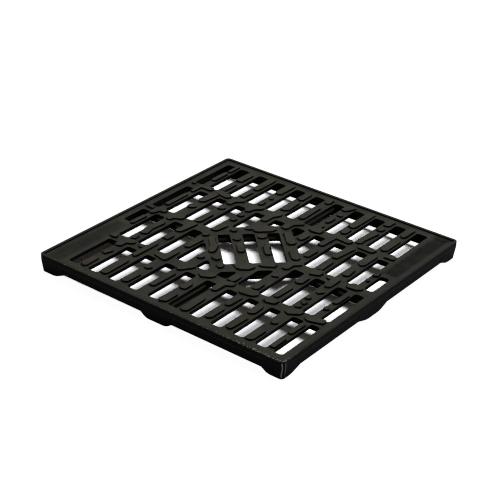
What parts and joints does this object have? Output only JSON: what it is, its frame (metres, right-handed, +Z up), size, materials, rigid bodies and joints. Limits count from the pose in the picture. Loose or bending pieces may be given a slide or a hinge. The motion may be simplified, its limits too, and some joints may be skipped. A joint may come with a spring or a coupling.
{
  "type": "square street grate",
  "caption": "Square slotted cast iron street grate with a turned square of slots in its middle, raised grip pads, deep ribs and cast feet.",
  "frame": {"origin": "centre of the grate in plan, at the level of the soles of its feet", "axes": "+Z up, square to the deck; +Y along the slots, away from the viewer of the picture; +X across the slots"},
  "size_m": [0.4, 0.4, 0.026],
  "materials": {
    "cast_iron": "dark coated casting, slightly grainy with a low sheen"
  },
  "bodies": {
    "root": {"wall_right": "cast_iron", "wall_back": "cast_iron", "wall_left": "cast_iron", "wall_front": "cast_iron", "blank_plate_left": "cast_iron", "blank_plate_right": "cast_iron", "crossbar_back": "cast_iron", "crossbar_front": "cast_iron", "centre_bar_left": "cast_iron", "centre_bar_right": "cast_iron", "bars_row_1": "cast_iron", "bars_row_2": "cast_iron", "bars_row_3": "cast_iron", "bars_row_4": "cast_iron", "rib_right": "cast_iron", "rib_back": "cast_iron", "rib_left": "cast_iron", "rib_front": "cast_iron", "diamond_ends": "cast_iron", "diamond_sides": "cast_iron", "diamond_bars": "cast_iron", "corner_feet": "cast_iron", "side_feet": "cast_iron", "pads_row_1": "cast_iron", "pads_row_2": "cast_iron", "pads_row_3": "cast_iron", "pads_row_4": "cast_iron", "pads_crossbar_back": "cast_iron", "pads_centre": "cast_iron", "pads_crossbar_front": "cast_iron", "pads_diamond": "cast_iron"}
  },
  "joints": []
}
